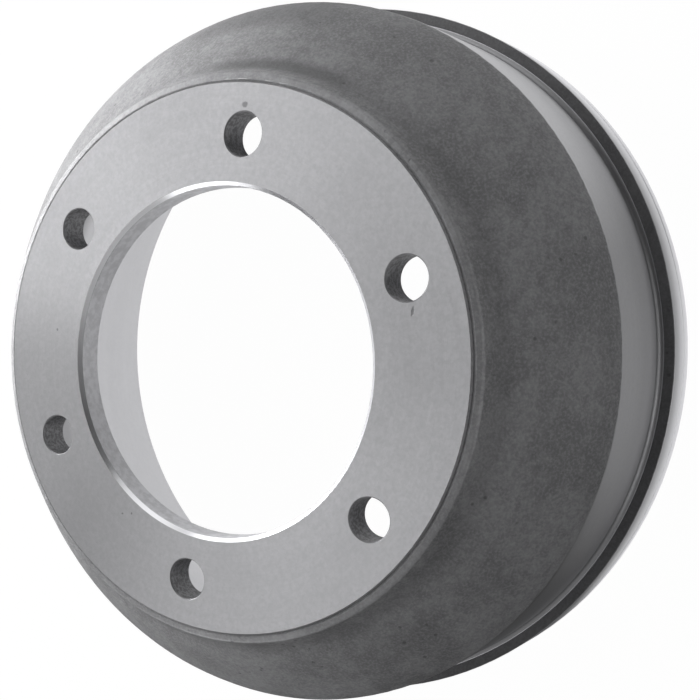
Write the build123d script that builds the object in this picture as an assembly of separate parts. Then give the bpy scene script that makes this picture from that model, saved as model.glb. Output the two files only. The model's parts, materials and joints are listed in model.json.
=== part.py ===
"""Cast iron brake drum, one solid. Millimetres.

The drum stands on its open end: Z = 0 is the open end, +Z is the axis, and the mounting
face looks up. X runs from the axis to the first stud hole. Depths are measured down from
the mounting face.
"""
import os
from math import atan2, cos, hypot, radians, tan

from build123d import *

# Overall
drum_height = 143.0
friction_diameter = 320.0

# Mounting flange: the face is cut on past the stud holes by a margin
pilot_diameter = 173.4
pilot_front_chamfer = 2.0
pilot_rear_chamfer = 2.0
flange_thickness = 16.0
stud_circle_diameter = 222.25
stud_hole_diameter = 21.0
stud_hole_chamfer = 0.5
stud_count = 6
face_margin = 13.175

# Groove around the face, where the cut face ends, and the low cast bead outside it
groove_out = 0.7
groove_drop = 2.0
bead_out = 1.1
bead_rise = 0.6
bead_round = 0.8

# Corner, neck, flare and crown of the cast shoulder: how far down they lie, and what share
# of the way out from the edge of the face to the barrel
corner_depth = 2.4
corner_share = 0.1046
corner_round = 2.2
neck_depth = 11.6
neck_share = 0.1904
neck_round = 16.0
flare_depth = 19.2
flare_share = 0.3912
flare_round = 30.0
crown_depth = 27.8
crown_share = 0.5795
crown_round = 110.0
crown_room_share = 0.8

# Long cone below the crown and the roll that turns it into the barrel, angles to the axis
cone_angle = 40.6
cone_round = 40.0
roll_angle = 24.7
roll_length = 11.5
roll_round = 9.0

# Turned barrel and the thick band at the open end. The barrel's cut ends in a small fillet and
# a narrow flat, a little below the cast step face of the band
barrel_wall = 22.6
root_fillet = 2.4
root_flat = 0.2
root_cut_below = 0.4
rear_band_step = 8.0
rear_band_width = 27.5
step_edge_chamfer = 0.5
rear_outer_chamfer = 3.5
rear_inner_chamfer = 1.0
mark_groove_from_end = 10.5
mark_groove_width = 1.2
mark_groove_cut = 0.6

# Cast inside of the shoulder
wall_thickness = 16.0
inner_corner_fillet = 12.0
inner_end_fillet = 6.0


def at(radius, depth):
    """Section point from a radius and a depth below the mounting face."""
    return (radius, drum_height - depth)


def near(vertices, radius, depth):
    """The section's vertex closest to a named corner."""
    r, z = at(radius, depth)
    return vertices.sort_by(lambda v: (v.X - r) ** 2 + (v.Y - z) ** 2)[0]


pilot_r = pilot_diameter / 2
face_r = stud_circle_diameter / 2 + stud_hole_diameter / 2 + face_margin
friction_r = friction_diameter / 2
barrel_r = friction_r + barrel_wall
rear_r = barrel_r + rear_band_step
shoulder_width = barrel_r - face_r
corner_r = face_r + corner_share * shoulder_width
neck_r = face_r + neck_share * shoulder_width
flare_r = face_r + flare_share * shoulder_width
crown_r = face_r + crown_share * shoulder_width

# The cone runs from the crown at its own angle until it meets the roll
cone_slope = tan(radians(cone_angle))
cone_end_r = barrel_r - roll_length * tan(radians(roll_angle))
cone_end_depth = crown_depth + (cone_end_r - crown_r) / cone_slope
roll_end_depth = cone_end_depth + roll_length

# The crown's long arc is limited by its room: a share of the stretch between flare and crown
crown_stretch = hypot(crown_r - flare_r, crown_depth - flare_depth)
crown_turn = abs(atan2(crown_r - flare_r, crown_depth - flare_depth) - radians(cone_angle))
crown_arc = min(crown_round, crown_room_share * crown_stretch / tan(crown_turn / 2))

# The inside of the shoulder is the outside cone moved in by the wall
inner_shift = wall_thickness / cos(radians(cone_angle))
inner_foot_r = crown_r + cone_slope * (flange_thickness - crown_depth) - inner_shift
inner_top_depth = flange_thickness + (friction_r - inner_foot_r) / cone_slope

groove_r = face_r + groove_out
bead_r = groove_r + bead_out
bead_depth = groove_drop - bead_rise
rear_band_depth = drum_height - rear_band_width
root_depth = rear_band_depth + root_cut_below
root_cut_r = barrel_r + root_fillet + root_flat
mark_groove_depth = drum_height - mark_groove_from_end

outline_points = [
    at(pilot_r, pilot_front_chamfer),
    at(pilot_r + pilot_front_chamfer, 0),
    at(face_r, 0),
    at(groove_r, groove_drop),
    at(bead_r, bead_depth),
    at(corner_r, corner_depth),
    at(neck_r, neck_depth),
    at(flare_r, flare_depth),
    at(crown_r, crown_depth),
    at(cone_end_r, cone_end_depth),
    at(barrel_r, roll_end_depth),
    at(barrel_r, root_depth),
    at(root_cut_r, root_depth),
    at(root_cut_r + root_cut_below, rear_band_depth),
    at(rear_r - step_edge_chamfer, rear_band_depth),
    at(rear_r, rear_band_depth + step_edge_chamfer),
    at(rear_r, mark_groove_depth - mark_groove_width / 2),
    at(rear_r - mark_groove_cut, mark_groove_depth),
    at(rear_r, mark_groove_depth + mark_groove_width / 2),
    at(rear_r, drum_height - rear_outer_chamfer),
    at(rear_r - rear_outer_chamfer, drum_height),
    at(friction_r + rear_inner_chamfer, drum_height),
    at(friction_r, drum_height - rear_inner_chamfer),
    at(friction_r, inner_top_depth),
    at(inner_foot_r, flange_thickness),
    at(pilot_r + pilot_rear_chamfer, flange_thickness),
    at(pilot_r, flange_thickness - pilot_rear_chamfer),
]

corner_rounds = [
    (bead_r, bead_depth, bead_round),
    (corner_r, corner_depth, corner_round),
    (neck_r, neck_depth, neck_round),
    (flare_r, flare_depth, flare_round),
    (crown_r, crown_depth, crown_arc),
    (cone_end_r, cone_end_depth, cone_round),
    (barrel_r, roll_end_depth, roll_round),
    (barrel_r, root_depth, root_fillet),
    (friction_r, inner_top_depth, inner_end_fillet),
    (inner_foot_r, flange_thickness, inner_corner_fillet),
]

with BuildPart() as drum:
    with BuildSketch(Plane.XZ) as half_section:
        with BuildLine():
            Polyline(*outline_points, close=True)
        make_face()
        for radius, depth, size in corner_rounds:
            fillet(near(half_section.vertices(), radius, depth), size)
    revolve(axis=Axis.Z)
    with Locations((0, 0, drum_height)):
        with PolarLocations(stud_circle_diameter / 2, stud_count):
            Hole(stud_hole_diameter / 2, depth=flange_thickness)
    stud_hole_rims = drum.faces().filter_by(Plane.XY).sort_by(Axis.Z)[-1].inner_wires().edges()
    chamfer(stud_hole_rims.filter_by(lambda rim: rim.radius < pilot_r), stud_hole_chamfer)

body = drum.part
body.label = "brake_drum"

os.makedirs("parts", exist_ok=True)
export_step(body, "parts/brake_drum.step")
print("brake_drum", round(body.volume / 1000, 1), "cm3", body.bounding_box())
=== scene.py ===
"""Brake drum: the looks. Metres in the scene, millimetres inside the materials.

The drum is one casting, so it stays the CAD node and gets its finishes here: the dark sand
cast skin, the turned faces with their tool marks, and the small marks of handling. Radii are
taken from the axis, and depths are taken down from the mounting face.
"""
import json
import math
from types import SimpleNamespace

import bmesh
import bpy
from mathutils import Matrix, Vector

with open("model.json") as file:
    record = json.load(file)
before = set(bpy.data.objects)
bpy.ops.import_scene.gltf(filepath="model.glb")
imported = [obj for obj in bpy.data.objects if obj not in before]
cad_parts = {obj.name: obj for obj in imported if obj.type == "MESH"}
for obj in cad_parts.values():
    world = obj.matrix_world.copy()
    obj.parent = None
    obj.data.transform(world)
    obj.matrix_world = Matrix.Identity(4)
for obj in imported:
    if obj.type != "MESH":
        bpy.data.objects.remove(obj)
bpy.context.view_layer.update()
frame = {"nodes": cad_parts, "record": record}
drum = frame["nodes"]["brake_drum"]
mounts = {mount["name"]: mount for mount in frame["record"]["mounts"]}
MM = 1000.0

# Sizes of the casting from the frame, in millimetres
DRUM_HEIGHT = mounts["mounting_face"]["pos_m"][2] * MM
FLANGE_THICKNESS = DRUM_HEIGHT - mounts["hub_seat"]["pos_m"][2] * MM
PILOT_R = mounts["pilot_bore"]["dims"]["r_mm"]
FRICTION_R = mounts["friction_bore"]["dims"]["r_mm"]
STUD_CIRCLE_R = mounts["stud_holes"]["dims"]["pcd_mm"] / 2
STUD_HOLE_R = mounts["stud_holes"]["dims"]["hole_r_mm"]
STUD_COUNT = mounts["stud_holes"]["dims"]["count"]

# Where the finishes change on the outside, in millimetres
PILOT_CHAMFER = 2.0
FACE_R = STUD_CIRCLE_R + STUD_HOLE_R + 13.175
GROOVE_R = FACE_R + 1.4
CORNER_R = FACE_R + 5.3
BEAD_END_DEPTH = 4.0
NECK_R = FACE_R + 9.8
NECK_DEPTH = 12.0
NECK_REACH = 7.5
HUMP_R = FACE_R + 20.2
HUMP_DEPTH = 20.4
HUMP_REACH = 6.0
ROLL_START_R = FRICTION_R + 8.0
ROLL_END_R = FRICTION_R + 26.0
BARREL_ZONE_R = FRICTION_R + 15.0
BARREL_START_DEPTH = 57.4
BARREL_FOOT_START_DEPTH = 90.0
BARREL_FOOT_DEPTH = 110.0
ROOT_CUT_R = FRICTION_R + 25.2
ROOT_START_DEPTH = 112.5
BAND_START_DEPTH = DRUM_HEIGHT - 27.2
BAND_BRIGHT_DEPTH = DRUM_HEIGHT - 13.0
BAND_ZONE_R = FRICTION_R + 29.0

# Where they change inside. Past OUTSIDE_ONLY_R a radius is on the outside at any depth
OUTSIDE_ONLY_R = FRICTION_R + 6.0
HUB_SEAT_R = FACE_R - 10.9
INNER_CORNER_R = FACE_R + 5.2
FRICTION_START_DEPTH = 51.9
FRICTION_WORN_DEPTH = 64.0
FRICTION_BRIGHT_DEPTH = 76.0

# The middle of the painted shade on the neck and on the roll, as ways from the axis
PAINTED_SHADE_NECK_WAY = (0.998, -0.06, 0.0)
PAINTED_SHADE_ROLL_WAY = (0.990, 0.140, 0.0)

# Greys of the cast skin
SKIN_DARK = 0.21
SKIN_LIGHT = 0.34
SKIN_PATCH = 0.18
SKIN_GRAIN = 0.52
SKIN_PAINTED_LIGHT = 0.52
SKIN_PIT = 0.08
NECK_PAINTED_SHADE = 0.10
PAINTED_SHADE_GREY = 0.08
GROOVE_GREY = 0.55

# Greys of the turned iron
CUT_DARK = 0.475
CUT_LIGHT = 0.51
CUT_WAVE = 0.43
CUT_BLOTCH = 0.41
CUT_STAIN = 0.38
BARREL_DARK = 0.41
BARREL_LIGHT = 0.45
BARREL_FOOT_PAINTED_LIGHT = 0.70
ROOT_FILLET_PAINTED_SHADE = 0.15
ROOT_LINE_PAINTED_HIGHLIGHT = 0.80
BAND_DARK = 0.50
BAND_PAINTED_REFLECTION = 0.86
FRICTION_DARK = 0.36
FRICTION_LIGHT = 0.63
BORE_DARK = 0.54
BORE_LIGHT = 0.66
BORE_CHAMFER_PAINTED_HIGHLIGHT = 0.85
HOLE_DARK = 0.16
HOLE_LIGHT = 0.30
MARK_GREY = 0.13

# Surface of the cast skin, with its relief in metres
SKIN_METAL = 0.15
SKIN_ROUGH_LEAST = 0.58
SKIN_ROUGH_MOST = 0.72
SKIN_RELIEF = 0.5
SKIN_RELIEF_DEPTH = 0.0007
BEAD_METAL = 0.4
BEAD_ROUGH = 0.5

# Surface of the turned iron, with its relief in metres
CUT_ROUGH_LEAST = 0.35
CUT_ROUGH_MOST = 0.42
CUT_STRETCH = 0.7
CUT_STRETCH_TURN = 0.25
CUT_RELIEF = 0.3
CUT_RELIEF_DEPTH = 0.00005
COARSE_CUT_ROUGH = 0.6
BORE_CHAMFER_ROUGH = 0.3

# Sizes of the sand grain and of the tool marks, in millimetres
SAND_GRAIN = 1.3
SAND_LUMP = 7.0
TOOL_FEED = 0.45
TOOL_SWEEP = 7.0

# How many of each kind of patch lie along a metre
SKIN_PATCHES = 330.0
CUT_STAINS = 22.0
CUT_SPECKS = 620.0
CUT_BLOTCHES = 300.0
BORE_BLOTCHES = 240.0

# Small marks on the mounting face: place in metres, squeeze in x and y, size in millimetres
HANDLING_MARKS = {
    "punch mark": ((0.1247, 0.0009), (0.95, 0.85), 1.35),
    "short scratch": ((0.0415, -0.1017), (0.45, 1.4), 1.1),
    "round pit": ((0.0009, 0.1039), (1.0, 1.0), 0.7),
    "long pit": ((-0.0878, 0.0460), (1.0, 0.8), 0.55),
    "smallest pit": ((-0.0863, 0.0401), (0.8, 1.0), 0.5),
}


def grey(level):
    return (level, level, level, 1.0)


def iron(level):
    """Grey with the faint blue of bare iron."""
    return (level, level, level * 1.03, 1.0)


# Shader building blocks

class Wiring:
    """Adds nodes to one tree and joins them."""

    def __init__(self, tree):
        self.tree = tree

    def node(self, kind, **settings):
        made = self.tree.nodes.new(kind)
        for key, value in settings.items():
            setattr(made, key, value)
        return made

    def join(self, source, target):
        """Joins an output to a socket, or sets the socket where the source is a plain value."""
        if isinstance(source, (int, float, tuple)):
            target.default_value = source
        else:
            self.tree.links.new(source, target)

    def group(self, group, **values):
        made = self.node("ShaderNodeGroup", node_tree=group)
        for label, value in values.items():
            self.join(value, made.inputs[label])
        return made

    def math(self, operation, *values):
        made = self.node("ShaderNodeMath", operation=operation)
        for value, socket in zip(values, made.inputs):
            self.join(value, socket)
        return made.outputs[0]

    def chain(self, operation, values):
        total = values[0]
        for value in values[1:]:
            total = self.math(operation, total, value)
        return total

    def add(self, *values):
        return self.chain("ADD", values)

    def times(self, *values):
        return self.chain("MULTIPLY", values)

    def either(self, *masks):
        return self.chain("MAXIMUM", masks)

    def length(self, first, second):
        return self.math("SQRT", self.add(self.times(first, first), self.times(second, second)))

    def vector_math(self, operation, first, second):
        made = self.node("ShaderNodeVectorMath", operation=operation)
        self.join(first, made.inputs[0])
        self.join(second, made.inputs[1])
        return made.outputs[0]

    def toward(self, vector, direction):
        """How far a vector reaches along a direction."""
        made = self.node("ShaderNodeVectorMath", operation="DOT_PRODUCT")
        self.join(vector, made.inputs[0])
        self.join(direction, made.inputs[1])
        return made.outputs["Value"]

    def combine(self, x=0.0, y=0.0, z=0.0):
        made = self.node("ShaderNodeCombineXYZ")
        for value, socket in zip((x, y, z), made.inputs):
            self.join(value, socket)
        return made.outputs[0]

    def smooth(self, value, start, end, low=0.0, high=1.0):
        """Eases from low to high as value goes from start to end."""
        made = self.node("ShaderNodeMapRange", interpolation_type="SMOOTHSTEP")
        for given, socket in zip((value, start, end, low, high), made.inputs):
            self.join(given, socket)
        return made.outputs[0]

    def above(self, value, edge, soft):
        return self.smooth(value, edge - soft, edge + soft)

    def below(self, value, edge, soft):
        return self.smooth(value, edge - soft, edge + soft, 1.0, 0.0)

    def between(self, value, low, high, soft):
        return self.times(self.above(value, low, soft), self.below(value, high, soft))

    def noise(self, vector, scale, detail=3.0, roughness=0.55):
        made = self.node("ShaderNodeTexNoise")
        self.join(vector, made.inputs["Vector"])
        self.join(scale, made.inputs["Scale"])
        self.join(detail, made.inputs["Detail"])
        self.join(roughness, made.inputs["Roughness"])
        return made.outputs["Fac"]

    def mix_value(self, factor, first, second):
        made = self.node("ShaderNodeMix", data_type="FLOAT")
        self.join(factor, made.inputs[0])
        self.join(first, made.inputs[2])
        self.join(second, made.inputs[3])
        return made.outputs[0]

    def mix_color(self, factor, first, second):
        made = self.node("ShaderNodeMix", data_type="RGBA")
        self.join(factor, made.inputs[0])
        self.join(first, made.inputs[6])
        self.join(second, made.inputs[7])
        return made.outputs[2]

    def shades(self, factor, dark, light):
        """A colour between two greys of iron."""
        return self.mix_color(factor, iron(dark), iron(light))

    def layer(self, color, mask, amount, over):
        """Lays a grey of iron, or another colour, over a colour where the mask is."""
        if isinstance(over, float):
            over = iron(over)
        return self.mix_color(self.times(mask, amount), color, over)

    def bump(self, height, strength, distance):
        made = self.node("ShaderNodeBump")
        self.join(strength, made.inputs["Strength"])
        self.join(distance, made.inputs["Distance"])
        self.join(height, made.inputs["Height"])
        return made.outputs[0]

    def plain_light(self, kind, strength):
        """A white emission or background."""
        made = self.node(kind)
        self.join(grey(1.0), made.inputs["Color"])
        self.join(strength, made.inputs["Strength"])
        return made.outputs[0]

    def mix_shader(self, factor, first, second):
        made = self.node("ShaderNodeMixShader")
        self.join(factor, made.inputs[0])
        self.join(first, made.inputs[1])
        self.join(second, made.inputs[2])
        return made.outputs[0]

    def finish(self, kind, shader):
        self.join(shader, self.node(kind).inputs["Surface"])


def wire_up(owner):
    """The wiring of a material or a world, started from an empty tree."""
    owner.use_nodes = True
    owner.node_tree.nodes.clear()
    return Wiring(owner.node_tree)


def new_group(name, inputs, outputs):
    """An empty shader node group: its wiring, its input node and its output sockets."""
    kinds = {"value": "NodeSocketFloat", "vector": "NodeSocketVector"}
    group = bpy.data.node_groups.new(name, "ShaderNodeTree")
    for label, kind, default in inputs:
        socket = group.interface.new_socket(label, in_out="INPUT", socket_type=kinds[kind])
        if default is not None:
            socket.default_value = default
    for label, kind in outputs:
        group.interface.new_socket(label, in_out="OUTPUT", socket_type=kinds[kind])
    w = Wiring(group)
    return w, w.node("NodeGroupInput").outputs, w.node("NodeGroupOutput").inputs


def lathe_coordinates():
    """Object coordinates to radius, depth below the mounting face and turn, in millimetres."""
    w, given, result = new_group(
        "lathe coordinates",
        [("Vector", "vector", None), ("Height", "value", DRUM_HEIGHT)],
        [("Radius", "value"), ("Depth", "value"), ("Turn", "value"), ("Round", "vector")],
    )
    split = w.node("ShaderNodeSeparateXYZ")
    w.join(given["Vector"], split.inputs[0])
    x, y, z = (w.times(axis, MM) for axis in split.outputs)
    radius = w.length(x, y)
    safe = w.math("MAXIMUM", radius, 1.0)
    w.join(radius, result["Radius"])
    w.join(w.math("SUBTRACT", given["Height"], z), result["Depth"])
    w.join(w.math("ARCTAN2", y, x), result["Turn"])
    w.join(w.combine(w.math("DIVIDE", x, safe), w.math("DIVIDE", y, safe)), result["Round"])
    return w.tree


def stud_hole_distance():
    """Distance in millimetres from the nearest stud hole's axis, by folding the ring of holes."""
    w, given, result = new_group(
        "stud hole distance",
        [
            ("Radius", "value", 0.0),
            ("Turn", "value", 0.0),
            ("Count", "value", float(STUD_COUNT)),
            ("Circle Radius", "value", STUD_CIRCLE_R),
        ],
        [("Distance", "value")],
    )
    half_step = w.math("DIVIDE", math.pi, given["Count"])
    folded = w.math("PINGPONG", given["Turn"], half_step)
    radius = given["Radius"]
    x = w.math("SUBTRACT", w.times(radius, w.math("COSINE", folded)), given["Circle Radius"])
    y = w.times(radius, w.math("SINE", folded))
    w.join(w.length(x, y), result["Distance"])
    return w.tree


def tool_marks():
    """Turning marks: fine feed lines and slow waves across the cut, broken along the turn."""
    w, given, result = new_group(
        "tool marks",
        [
            ("Across", "value", 0.0),
            ("Round", "vector", None),
            ("Feed", "value", 0.4),
            ("Sweep", "value", 6.0),
        ],
        [("Height", "value"), ("Lines", "value"), ("Waves", "value")],
    )

    def lines(spacing, stretch, roughness):
        place = w.vector_math("MULTIPLY", given["Round"], (stretch, stretch, stretch))
        lift = w.combine(z=w.math("DIVIDE", given["Across"], spacing))
        return w.noise(w.vector_math("ADD", place, lift), 1.0, 2.0, roughness)

    fine = lines(given["Feed"], 1.3, 0.6)
    medium = lines(w.times(given["Feed"], 4.0), 0.9, 0.6)
    slow = lines(given["Sweep"], 0.8, 0.5)
    w.join(w.add(w.times(fine, 0.5), w.times(medium, 0.35), w.times(slow, 0.15)), result["Height"])
    w.join(w.add(w.times(fine, 0.55), w.times(medium, 0.45)), result["Lines"])
    w.join(slow, result["Waves"])
    return w.tree


def sand_skin():
    """The skin that a sand mould leaves: fine grain, lumps, and a few small pits."""
    w, given, result = new_group(
        "sand cast skin",
        [("Vector", "vector", None), ("Grain", "value", 1.1), ("Lump", "value", 9.0)],
        [("Height", "value"), ("Grain Mask", "value"), ("Mottle", "value"), ("Pits", "value")],
    )
    vector = given["Vector"]
    grain = w.noise(vector, w.math("DIVIDE", MM, given["Grain"]), 3.0, 0.6)
    lump = w.noise(vector, w.math("DIVIDE", MM, given["Lump"]))
    broad = w.noise(vector, 28.0, 3.0, 0.5)
    cells = w.node("ShaderNodeTexVoronoi", feature="F1")
    w.join(vector, cells.inputs["Vector"])
    w.join(170.0, cells.inputs["Scale"])
    pit = w.smooth(cells.outputs["Distance"], 0.10, 0.22, 1.0, 0.0)
    rare = w.above(w.noise(vector, 60.0, 1.0, 0.5), 0.62, 0.03)
    pits = w.times(pit, rare)
    raised = w.add(w.times(grain, 0.55), w.times(lump, 0.45))
    w.join(w.math("SUBTRACT", raised, w.times(pits, 0.5)), result["Height"])
    w.join(grain, result["Grain Mask"])
    w.join(w.add(w.times(broad, 0.6), w.times(lump, 0.4)), result["Mottle"])
    w.join(pits, result["Pits"])
    return w.tree


def small_mark():
    """A soft spot round one place, in metres, broken up at its edge."""
    w, given, result = new_group(
        "small mark",
        [
            ("Vector", "vector", None),
            ("Place", "vector", None),
            ("Stretch", "vector", (1.0, 1.0, 1.0)),
            ("Size", "value", 1.0),
        ],
        [("Mask", "value")],
    )
    away = w.vector_math("SUBTRACT", given["Vector"], given["Place"])
    length = w.node("ShaderNodeVectorMath", operation="LENGTH")
    w.join(w.vector_math("MULTIPLY", away, given["Stretch"]), length.inputs[0])
    reach = w.times(w.math("DIVIDE", length.outputs["Value"], given["Size"]), MM)
    ragged = w.times(w.math("SUBTRACT", w.noise(given["Vector"], 900.0, 2.0), 0.5), 0.8)
    w.join(w.smooth(w.add(reach, ragged), 0.6, 1.25, 1.0, 0.0), result["Mask"])
    return w.tree


LATHE = lathe_coordinates()
STUD_HOLE_DISTANCE = stud_hole_distance()
TOOL_MARKS = tool_marks()
SAND_SKIN = sand_skin()
SMALL_MARK = small_mark()


# The drum's finishes

def drum_zones(w):
    """Where each finish lies, as masks made from radius, depth and turn."""
    position = w.node("ShaderNodeTexCoord").outputs["Object"]
    lathe = w.group(LATHE, Vector=position).outputs
    radius, depth, around = lathe["Radius"], lathe["Depth"], lathe["Round"]
    holes = w.group(STUD_HOLE_DISTANCE, Radius=radius, Turn=lathe["Turn"])
    hole_distance = holes.outputs["Distance"]

    def near_ring(ring_radius, ring_depth, reach):
        across = w.math("SUBTRACT", radius, ring_radius)
        along = w.math("SUBTRACT", depth, ring_depth)
        return w.smooth(w.length(across, along), 1.0, reach, 1.0, 0.0)

    def sector(direction, edge, core):
        return w.smooth(w.toward(around, direction), edge, core)

    # Cast surfaces; the barrel's cut wanders a little where it starts
    wander = w.times(w.math("SUBTRACT", w.noise(around, 9.0), 0.5), 0.9)
    shoulder = w.times(
        w.above(depth, 0.12, 0.05),
        w.above(radius, FACE_R - 0.1, 0.03),
        w.below(w.add(depth, wander), BARREL_START_DEPTH, 0.3),
        w.either(w.above(radius, OUTSIDE_ONLY_R, 0.5), w.below(depth, FRICTION_START_DEPTH, 0.3)),
    )
    inner_foot = w.times(
        w.above(depth, FLANGE_THICKNESS + 0.1, 0.05),
        w.between(radius, HUB_SEAT_R, INNER_CORNER_R, 0.3),
    )
    step_face = w.times(
        w.between(depth, BARREL_FOOT_DEPTH, BAND_START_DEPTH, 0.1),
        w.above(radius, ROOT_CUT_R + 0.15, 0.1),
    )
    neck = near_ring(NECK_R, NECK_DEPTH, NECK_REACH)
    roll = w.times(w.between(radius, ROLL_START_R, ROLL_END_R, 5.0), shoulder)

    # Turned surfaces
    bore = w.below(radius, PILOT_R + PILOT_CHAMFER, 0.15)
    barrel = w.between(radius, BARREL_ZONE_R, ROOT_CUT_R + 0.1, 0.1)
    root_line = w.times(
        w.between(radius, ROOT_CUT_R - 0.35, ROOT_CUT_R + 0.45, 0.12),
        w.below(depth, BAND_START_DEPTH + 0.4, 0.1),
    )
    return SimpleNamespace(
        position=position,
        radius=radius,
        depth=depth,
        around=around,
        cast=w.either(shoulder, inner_foot, step_face),
        step_face=step_face,
        groove=w.times(w.between(radius, FACE_R - 0.1, GROOVE_R, 0.25), w.above(depth, 0.3, 0.2)),
        bead=w.times(
            w.between(radius, GROOVE_R, CORNER_R, 0.5),
            w.below(depth, BEAD_END_DEPTH, 0.8),
            shoulder,
        ),
        neck=neck,
        hump=w.times(near_ring(HUMP_R, HUMP_DEPTH, HUMP_REACH), shoulder),
        painted_shade_neck=w.times(neck, sector(PAINTED_SHADE_NECK_WAY, 0.945, 0.995)),
        painted_shade_roll=w.times(roll, sector(PAINTED_SHADE_ROLL_WAY, 0.95, 0.995)),
        flat=w.either(w.below(depth, 0.5, 0.2), w.above(depth, DRUM_HEIGHT - 0.4, 0.2)),
        bore_wall=w.times(bore, w.between(depth, PILOT_CHAMFER - 0.2, FLANGE_THICKNESS - 1.0, 0.2)),
        bore_chamfer=w.times(bore, w.between(depth, 0.05, PILOT_CHAMFER - 0.2, 0.1)),
        hole_wall=w.times(
            w.below(hole_distance, STUD_HOLE_R + 0.25, 0.1),
            w.between(depth, 0.3, FLANGE_THICKNESS - 0.1, 0.15),
        ),
        hole_chamfer=w.times(
            w.below(hole_distance, STUD_HOLE_R + 0.6, 0.1), w.between(depth, 0.06, 0.5, 0.04)
        ),
        barrel=barrel,
        root_fillet=w.times(barrel, w.above(depth, ROOT_START_DEPTH, 1.2)),
        root_line=root_line,
        band=w.above(radius, BAND_ZONE_R, 0.3),
        friction=w.times(w.below(radius, FRICTION_R + 0.5, 0.2), w.above(depth, FRICTION_START_DEPTH, 0.5)),
    )


def cast_skin(w, zones):
    """Cast skin, with painted shade in the neck, on one side of the roll and partly on the step face, and
    painted light on the bead and the hump.
    """
    sand = w.group(SAND_SKIN, Vector=zones.position, Grain=SAND_GRAIN, Lump=SAND_LUMP).outputs
    mottle = sand["Mottle"]
    patch = w.noise(zones.position, SKIN_PATCHES, 3.0, 0.6)
    color = w.shades(w.smooth(mottle, 0.38, 0.62), SKIN_DARK, SKIN_LIGHT)
    color = w.layer(color, w.smooth(patch, 0.35, 0.65), 0.42, SKIN_PATCH)
    color = w.layer(color, w.smooth(sand["Grain Mask"], 0.38, 0.72), 0.36, SKIN_GRAIN)
    color = w.layer(color, sand["Pits"], 0.6, SKIN_PIT)
    # Painted shade: the concave neck is darkened all round
    color = w.layer(color, zones.neck, 0.18, NECK_PAINTED_SHADE)
    # Painted shade: the neck and the roll are darkened further on one side, where the lamps leave them too
    # light
    painted_shade = w.either(w.times(zones.painted_shade_neck, 0.5), w.times(zones.painted_shade_roll, 0.45))
    color = w.layer(color, painted_shade, 1.0, PAINTED_SHADE_GREY)
    # Painted light: the bead and the hump are lightened all round
    color = w.layer(color, zones.bead, 0.25, SKIN_PAINTED_LIGHT)
    color = w.layer(color, zones.hump, 0.05, SKIN_PAINTED_LIGHT)
    # The step face is darkened, partly for its dark cast skin and partly as painted shade under the barrel
    color = w.layer(color, zones.step_face, 0.6, PAINTED_SHADE_GREY)
    color = w.layer(color, zones.groove, 0.35, GROOVE_GREY)

    skin = w.node("ShaderNodeBsdfPrincipled")
    w.join(color, skin.inputs["Base Color"])
    w.join(w.mix_value(zones.bead, SKIN_METAL, BEAD_METAL), skin.inputs["Metallic"])
    rough = w.smooth(mottle, 0.3, 0.7, SKIN_ROUGH_LEAST, SKIN_ROUGH_MOST)
    w.join(w.mix_value(zones.bead, rough, BEAD_ROUGH), skin.inputs["Roughness"])
    w.join(w.bump(sand["Height"], SKIN_RELIEF, SKIN_RELIEF_DEPTH), skin.inputs["Normal"])
    return skin.outputs[0]


def handling_marks(w, position):
    """All the small marks of the mounting face as one mask."""
    masks = []
    for flat_place, squeeze, size in HANDLING_MARKS.values():
        place = (*flat_place, DRUM_HEIGHT / MM)
        stretch = (*squeeze, 1.0)
        mark = w.group(SMALL_MARK, Vector=position, Place=place, Stretch=stretch, Size=size)
        masks.append(mark.outputs["Mask"])
    return w.either(*masks)


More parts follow.
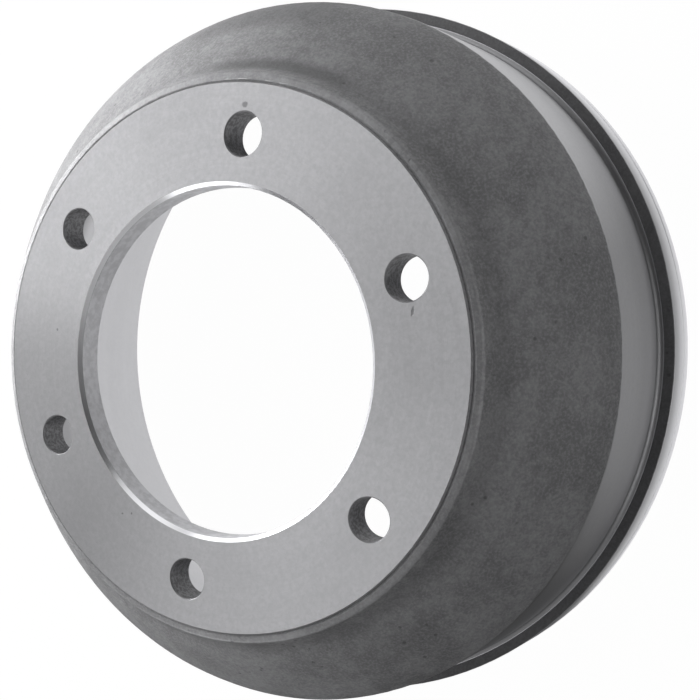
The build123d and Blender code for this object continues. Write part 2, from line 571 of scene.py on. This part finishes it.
def turned_iron(w, zones):
    """Turned iron: flat faces are cut across their radius, the round parts along the depth."""
    position, depth = zones.position, zones.depth
    across = w.mix_value(zones.flat, depth, zones.radius)
    cut = {"Across": across, "Round": zones.around, "Feed": TOOL_FEED, "Sweep": TOOL_SWEEP}
    marks = w.group(TOOL_MARKS, **cut).outputs
    lines, waves = marks["Lines"], marks["Waves"]
    stain = w.noise(position, CUT_STAINS, 4.0, 0.6)
    speck = w.noise(position, CUT_SPECKS, 3.0, 0.65)
    blotch = w.noise(position, CUT_BLOTCHES, 3.0, 0.6)
    coarse = w.noise(position, BORE_BLOTCHES, 3.0, 0.6)
    spots = handling_marks(w, position)

    color = w.shades(w.smooth(lines, 0.35, 0.65), CUT_DARK, CUT_LIGHT)
    color = w.layer(color, w.smooth(waves, 0.4, 0.7), 0.15, CUT_WAVE)
    color = w.layer(color, w.smooth(speck, 0.42, 0.68), 0.26, CUT_STAIN)
    color = w.layer(color, w.smooth(stain, 0.46, 0.72), 0.26, CUT_STAIN)
    color = w.layer(color, w.smooth(blotch, 0.35, 0.65), 0.4, CUT_BLOTCH)

    # Painted light: the barrel gets lighter toward its root, and a painted reflection of the white floor
    # makes the band lighter toward the open end
    barrel = w.shades(w.smooth(lines, 0.3, 0.7), BARREL_DARK, BARREL_LIGHT)
    at_foot = w.smooth(depth, BARREL_FOOT_START_DEPTH, BARREL_FOOT_DEPTH)
    barrel = w.layer(barrel, at_foot, 0.6, BARREL_FOOT_PAINTED_LIGHT)
    color = w.layer(color, zones.barrel, 0.7, barrel)
    # Painted shade in the crease at the barrel's root
    color = w.layer(color, zones.root_fillet, 0.55, ROOT_FILLET_PAINTED_SHADE)
    toward_end = w.smooth(depth, BAND_START_DEPTH + 0.2, BAND_BRIGHT_DEPTH)
    band = w.shades(toward_end, BAND_DARK, BAND_PAINTED_REFLECTION)
    color = w.layer(color, zones.band, 0.8, band)
    # Painted highlight: a bright line on the cut edge at the root
    color = w.layer(color, zones.root_line, 0.8, ROOT_LINE_PAINTED_HIGHLIGHT)

    # The friction surface is bright where the shoes have run
    worn = w.smooth(depth, FRICTION_WORN_DEPTH, FRICTION_BRIGHT_DEPTH)
    color = w.layer(color, zones.friction, 0.8, w.shades(worn, FRICTION_DARK, FRICTION_LIGHT))
    bore = w.shades(w.smooth(coarse, 0.36, 0.64), BORE_DARK, BORE_LIGHT)
    color = w.layer(color, zones.bore_wall, 0.8, bore)
    # Painted highlight: the bore chamfer is lighter than the turned iron round it
    color = w.layer(color, zones.bore_chamfer, 1.0, BORE_CHAMFER_PAINTED_HIGHLIGHT)
    hole = w.shades(w.smooth(speck, 0.4, 0.6), HOLE_DARK, HOLE_LIGHT)
    color = w.layer(color, zones.hole_wall, 0.9, hole)
    color = w.layer(color, zones.hole_chamfer, 1.0, HOLE_LIGHT)
    color = w.layer(color, spots, 0.65, MARK_GREY)

    rough = w.add(
        w.smooth(lines, 0.3, 0.7, CUT_ROUGH_LEAST, CUT_ROUGH_MOST),
        w.times(waves, 0.05),
        w.times(w.smooth(speck, 0.4, 0.7), 0.05),
    )
    coarse_cut = w.either(zones.hole_wall, zones.hole_chamfer, zones.bore_wall)
    rough = w.mix_value(coarse_cut, rough, COARSE_CUT_ROUGH)
    rough = w.mix_value(zones.bore_chamfer, rough, BORE_CHAMFER_ROUGH)
    raised = w.add(w.times(marks["Height"], 0.8), w.times(speck, 0.5))
    height = w.math("SUBTRACT", raised, w.times(spots, 4.0))
    tangent = w.node("ShaderNodeTangent", direction_type="RADIAL", axis="Z")

    metal = w.node("ShaderNodeBsdfPrincipled")
    w.join(color, metal.inputs["Base Color"])
    w.join(1.0, metal.inputs["Metallic"])
    w.join(rough, metal.inputs["Roughness"])
    w.join(CUT_STRETCH, metal.inputs["Anisotropic"])
    w.join(CUT_STRETCH_TURN, metal.inputs["Anisotropic Rotation"])
    w.join(tangent.outputs[0], metal.inputs["Tangent"])
    w.join(w.bump(height, CUT_RELIEF, CUT_RELIEF_DEPTH), metal.inputs["Normal"])
    return metal.outputs[0]


def drum_iron():
    """One material for the casting: turned iron where a tool has cut, cast skin elsewhere."""
    material = bpy.data.materials.new("drum iron")
    w = wire_up(material)
    zones = drum_zones(w)
    both = w.mix_shader(zones.cast, turned_iron(w, zones), cast_skin(w, zones))
    w.finish("ShaderNodeOutputMaterial", both)
    return material


drum.data.materials.clear()
drum.data.materials.append(drum_iron())


# Stage

FLOOR_REACH = 12.0
FLOOR_MATTE = 0.3
FLOOR_MATTE_IN_METAL = 0.04
FLOOR_GLOW = 1.09
FLOOR_SEEN = 0.9
FLOOR_FOOT_R = 202.0

# How strongly metal shows the floor, and where that sets in, in metres toward the bright side
BRIGHT_SIDE = (0.9, 0.43, 0.0)
DIM_FLOOR_STRENGTH = 0.40
DIM_FLOOR_EDGE = (-0.21, -0.12)
BRIGHT_FLOOR_STRENGTH = 0.58
BRIGHT_FLOOR_EDGE = (0.0, 0.13)
FOOT_STRENGTH = 0.95
FOOT_EDGE = (-0.185, -0.15)
INSIDE_STRENGTH = 0.95


def floor_in_metal(w):
    """How bright metal shows the floor: more on the bright side, at the drum's foot and inside."""
    position = w.node("ShaderNodeTexCoord").outputs["Object"]
    radius = w.group(LATHE, Vector=position).outputs["Radius"]
    reach = w.toward(position, BRIGHT_SIDE)
    open_floor = w.add(
        w.smooth(reach, *DIM_FLOOR_EDGE, 0.0, DIM_FLOOR_STRENGTH),
        w.smooth(reach, *BRIGHT_FLOOR_EDGE, 0.0, BRIGHT_FLOOR_STRENGTH),
    )
    at_foot = w.times(
        w.below(radius, FLOOR_FOOT_R, 9.0), w.smooth(reach, *FOOT_EDGE, 0.0, FOOT_STRENGTH)
    )
    inside = w.times(w.below(radius, FRICTION_R, 3.0), INSIDE_STRENGTH)
    return w.either(open_floor, at_foot, inside)


def pale_floor():
    """A plain floor, white to the camera, that keeps the drum's shadow."""
    mesh = bpy.data.meshes.new("floor")
    shape = bmesh.new()
    bmesh.ops.create_grid(shape, x_segments=1, y_segments=1, size=FLOOR_REACH)
    shape.to_mesh(mesh)
    shape.free()
    floor = bpy.data.objects.new("floor", mesh)
    bpy.context.collection.objects.link(floor)

    material = bpy.data.materials.new("pale floor")
    w = wire_up(material)
    path = w.node("ShaderNodeLightPath").outputs
    seen = w.add(
        w.times(path["Is Camera Ray"], FLOOR_SEEN),
        w.times(path["Is Glossy Ray"], floor_in_metal(w)),
        w.times(path["Is Transmission Ray"], FLOOR_SEEN),
    )
    matte = w.node("ShaderNodeBsdfDiffuse")
    matte_color = w.mix_color(path["Is Glossy Ray"], grey(FLOOR_MATTE), grey(FLOOR_MATTE_IN_METAL))
    w.join(matte_color, matte.inputs["Color"])
    glow = w.plain_light("ShaderNodeEmission", FLOOR_GLOW)
    w.finish("ShaderNodeOutputMaterial", w.mix_shader(seen, matte.outputs[0], glow))
    floor.data.materials.append(material)


ROOM_STRENGTH = 0.02
ROOM_IN_METAL = 0.04

# The cards: the way to the middle, the cosines where they start and are full, and the strength
UPPER_CARD_WAY = (0.876, 0.153, 0.458)
UPPER_CARD_EDGE = (0.89, 0.97)
UPPER_CARD_STRENGTH = 0.8
RIGHT_CARD_WAY = (-0.83, -0.207, 0.519)
RIGHT_CARD_EDGE = (0.36, 0.98)
RIGHT_CARD_STRENGTH = 0.42


def studio_room():
    """A dark room for the light, white to the camera, with two pale cards that only metal shows."""
    world = bpy.data.worlds.new("studio")
    bpy.context.scene.world = world
    w = wire_up(world)
    way = w.node("ShaderNodeTexCoord").outputs["Generated"]
    upper_way = w.toward(way, UPPER_CARD_WAY)
    upper_card = w.smooth(upper_way, *UPPER_CARD_EDGE, 0.0, UPPER_CARD_STRENGTH)
    right_way = w.toward(way, RIGHT_CARD_WAY)
    right_card = w.smooth(right_way, *RIGHT_CARD_EDGE, 0.0, RIGHT_CARD_STRENGTH)
    path = w.node("ShaderNodeLightPath").outputs
    cards = w.times(w.either(upper_card, right_card, ROOM_IN_METAL), path["Is Glossy Ray"])
    room = w.plain_light("ShaderNodeBackground", w.add(cards, ROOM_STRENGTH))
    white = w.plain_light("ShaderNodeBackground", 1.0)
    w.finish("ShaderNodeOutputWorld", w.mix_shader(path["Is Camera Ray"], room, white))


pale_floor()
studio_room()


# Lamps: a low bright wall of light on the picture's left, weak fills low around, a soft top

SOFTBOX_DISTANCE = 1.6
SOFTBOX_SIZE = 0.9
SOFTBOX_TARGET = Vector((0.0, 0.0, 0.09))

# The direction of each softbox from the drum, and its power in watts
SOFTBOXES = (
    ("left softbox", (0.22, 0.97, 0.10), 22.0),
    ("lower left softbox", (-0.22, 0.97, 0.10), 10.3),
    ("upper left softbox", (0.62, 0.78, 0.10), 7.4),
    ("lower fill", (-0.90, 0.43, 0.10), 7.2),
    ("upper fill", (0.99, 0.00, 0.10), 2.2),
    ("right fill", (0.22, -0.97, 0.10), 2.7),
    ("lower right fill", (-0.22, -0.97, 0.10), 3.0),
    ("high left softbox", (0.23, 0.71, 0.67), 1.9),
    ("high upper softbox", (0.60, 0.44, 0.67), 1.8),
    ("top left softbox", (0.12, 0.42, 0.90), 2.4),
    ("top upper softbox", (0.42, 0.11, 0.90), 0.9),
    ("top lower softbox", (-0.31, 0.31, 0.90), 1.9),
)
SPOT_PLACE = Vector((1.02, 0.66, 0.42))
SPOT_TARGET = Vector((0.125, 0.085, 0.115))
SPOT_POWER = 20.0
SPOT_SPREAD = math.radians(10.0)
SPOT_RADIUS = 0.03


def hang_lamp(name, lamp, place, target):
    """Hangs a lamp at a place and turns it toward a target."""
    hung = bpy.data.objects.new(name, lamp)
    bpy.context.collection.objects.link(hung)
    hung.location = place
    hung.rotation_euler = (place - target).to_track_quat("Z", "Y").to_euler()
    return hung


def softbox(name, direction, power):
    """A square area lamp that faces the drum from a direction."""
    lamp = bpy.data.lights.new(name, "AREA")
    lamp.shape = "RECTANGLE"
    lamp.size = SOFTBOX_SIZE
    lamp.size_y = SOFTBOX_SIZE
    lamp.energy = power
    place = SOFTBOX_TARGET + Vector(direction).normalized() * SOFTBOX_DISTANCE
    hang_lamp(name, lamp, place, SOFTBOX_TARGET)


def shoulder_spot():
    """A soft narrow spot on the shoulder at the upper left, where the photograph is brightest."""
    lamp = bpy.data.lights.new("shoulder spot", "SPOT")
    lamp.energy = SPOT_POWER
    lamp.spot_size = SPOT_SPREAD
    lamp.spot_blend = 1.0
    lamp.shadow_soft_size = SPOT_RADIUS
    spot = hang_lamp("shoulder spot", lamp, SPOT_PLACE, SPOT_TARGET)
    spot.visible_glossy = False


for lamp_name, lamp_direction, lamp_power in SOFTBOXES:
    softbox(lamp_name, lamp_direction, lamp_power)
shoulder_spot()


# Camera: the photograph's place, lens and framing, with its centre and focal length in pixels

CAMERA_PLACE = (0.075635, -0.338017, 0.642433)
CAMERA_RIGHT = Vector((0.12338, -0.81194, -0.57055))
CAMERA_DOWN = Vector((-0.97219, -0.21422, 0.09463))
CAMERA_FORWARD = Vector((-0.19906, 0.54301, -0.81579))
PICTURE_SIZE = 700.0
PICTURE_CENTRE_X = 211.49
PICTURE_CENTRE_Y = 457.95
FOCAL_LENGTH = 1227.45
SENSOR_WIDTH = 36.0
NEAREST_SEEN = 0.01
FARTHEST_SEEN = 60.0


def photograph_camera():
    lens = bpy.data.cameras.new("photograph camera")
    lens.sensor_fit = "HORIZONTAL"
    lens.sensor_width = SENSOR_WIDTH
    lens.lens = FOCAL_LENGTH / PICTURE_SIZE * SENSOR_WIDTH
    lens.shift_x = 0.5 - PICTURE_CENTRE_X / PICTURE_SIZE
    lens.shift_y = PICTURE_CENTRE_Y / PICTURE_SIZE - 0.5
    lens.clip_start = NEAREST_SEEN
    lens.clip_end = FARTHEST_SEEN
    camera = bpy.data.objects.new("photograph camera", lens)
    bpy.context.collection.objects.link(camera)
    turn = Matrix((CAMERA_RIGHT, -CAMERA_DOWN, -CAMERA_FORWARD)).transposed().to_4x4()
    camera.matrix_world = Matrix.Translation(CAMERA_PLACE) @ turn
    bpy.context.scene.camera = camera


photograph_camera()
bpy.context.scene.view_settings.view_transform = "Standard"
